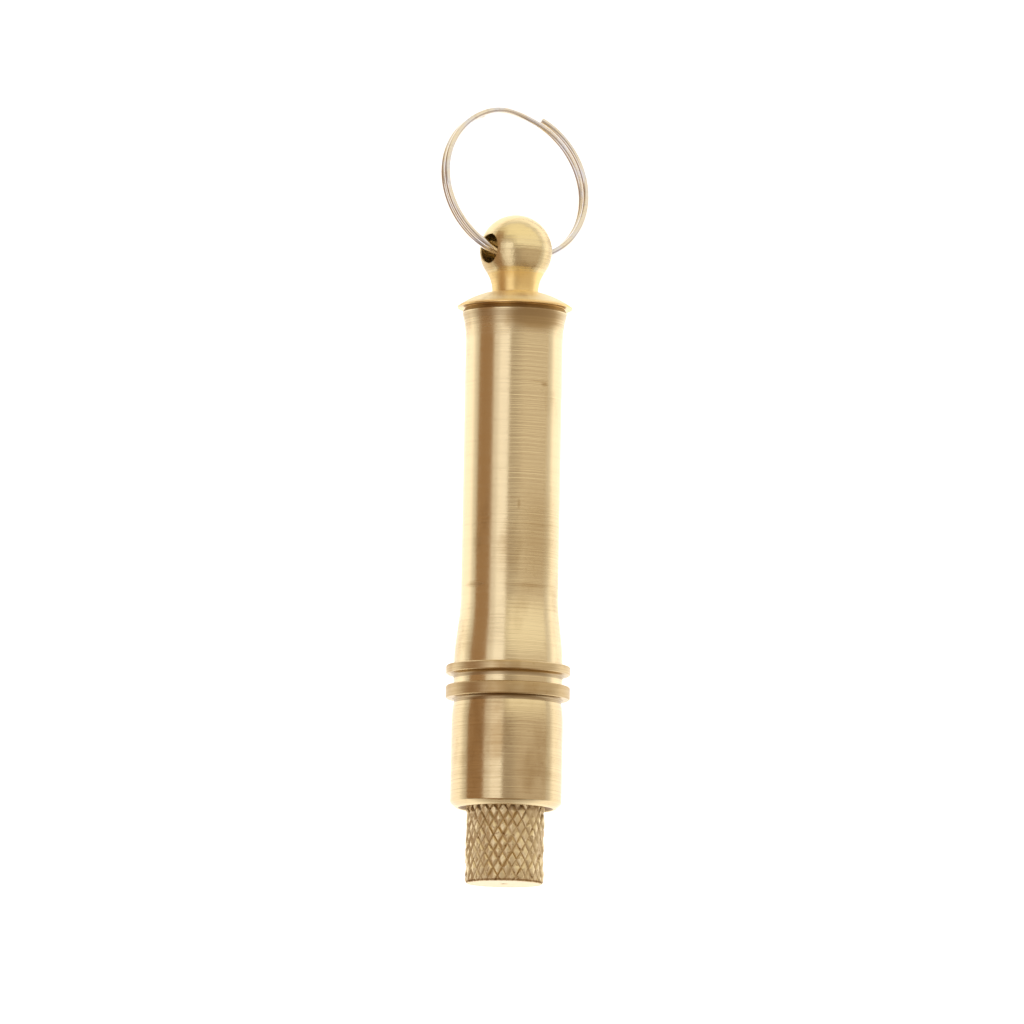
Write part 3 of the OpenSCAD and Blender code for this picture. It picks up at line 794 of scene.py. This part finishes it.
washer_surface = washer_start.node("ShaderNodeBsdfPrincipled", {}, {
    "Base Color": (rubbed * 0.6 + rings_worn * 0.4).rise(0.35, 0.7).colours(
        (0.56, 0.55, 0.54, 1), (0.36, 0.33, 0.29, 1)),
    "Metallic": 1.0, "Roughness": 0.24 + 0.2 * rubbed, "Normal": washer_bump})
washer_start.node("ShaderNodeOutputMaterial", {}, {"Surface": washer_surface})
washer = made_piece("thrust_washer", turned(washer_outline, washer_low.y, steps=128),
                    washer_steel)
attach(washer, "handle")
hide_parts("thrust_washer")


# ---------------------------------------------------------------------------------------------
# Bearing bush: sintered bronze, soaked in oil and pressed into the ferrule. The pin turns and
# slides in it.
bush_low, bush_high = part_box("bearing_bush")
bush_len = (bush_high.y - bush_low.y) / MM
bush_r, bush_hole_r = (bush_high.x - bush_low.x) / 2 / MM, 2.28
bush_outline = [(bush_hole_r, 0, 0.12), (bush_r, 0, 0.12), (bush_r, bush_len, 0.12),
                (bush_hole_r, bush_len, 0.12)]
bush_bronze, bush_start, bush_point = finish_base("bush_bronze")
pores = mottle(bush_point, 9.0, 2.0).rise(0.58, 0.68)
oiled = mottle(bush_point, 0.8, 2.0)
bush_bump = bush_start.node("ShaderNodeBump", {}, {
    "Strength": 1.0, "Distance": 0.01 * MM, "Height": 1 - pores})
bush_surface = bush_start.node("ShaderNodeBsdfPrincipled", {}, {
    "Base Color": (pores * 0.8 + oiled * 0.3).rise(0.0, 1.0).colours(
        (0.58, 0.34, 0.17, 1), (0.16, 0.08, 0.04, 1)),
    "Metallic": 1.0, "Roughness": 0.34 + 0.2 * oiled, "Normal": bush_bump})
bush_start.node("ShaderNodeOutputMaterial", {}, {"Surface": bush_surface})
bush = made_piece("bearing_bush", turned(bush_outline, bush_low.y, steps=128), bush_bronze)
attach(bush, "handle")
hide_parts("bearing_bush")


# ---------------------------------------------------------------------------------------------
# Felt pad: a punched disc of dark green felt, glued in the cap's plug, so that the pin's tip
# never knocks on brass.
pad_low, pad_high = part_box("tip_pad")
pad_t = (pad_high.y - pad_low.y) / MM
pad_r = (pad_high.x - pad_low.x) / 2 / MM
pad_outline = [(0, 0, 0), (pad_r * 0.5, 0.0, 0), (pad_r, 0.06, 0.2), (pad_r, pad_t, 0.1),
               (0, pad_t, 0)]
pad_felt, felt_start, felt_point = finish_base("pad_felt")
fibres = mottle(felt_point, 6.0, 4.0, (1, 0.5, 1), 0.7)
tufts = mottle(felt_point, 1.8, 2.0)
felt_bump = felt_start.node("ShaderNodeBump", {}, {
    "Strength": 1.0, "Distance": 0.12 * MM, "Height": fibres})
felt_surface = felt_start.node("ShaderNodeBsdfPrincipled", {}, {
    "Base Color": (fibres * 0.7 + tufts * 0.3).rise(0.35, 0.7).colours(
        (0.014, 0.045, 0.026, 1), (0.05, 0.11, 0.07, 1)),
    "Roughness": 0.95, "Sheen Weight": 0.4, "Sheen Roughness": 0.5, "Normal": felt_bump})
felt_start.node("ShaderNodeOutputMaterial", {}, {"Surface": felt_surface})
pad = made_piece("tip_pad", turned(pad_outline, pad_low.y, steps=96, closed=False), pad_felt)
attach(pad, "handle")
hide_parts("tip_pad")
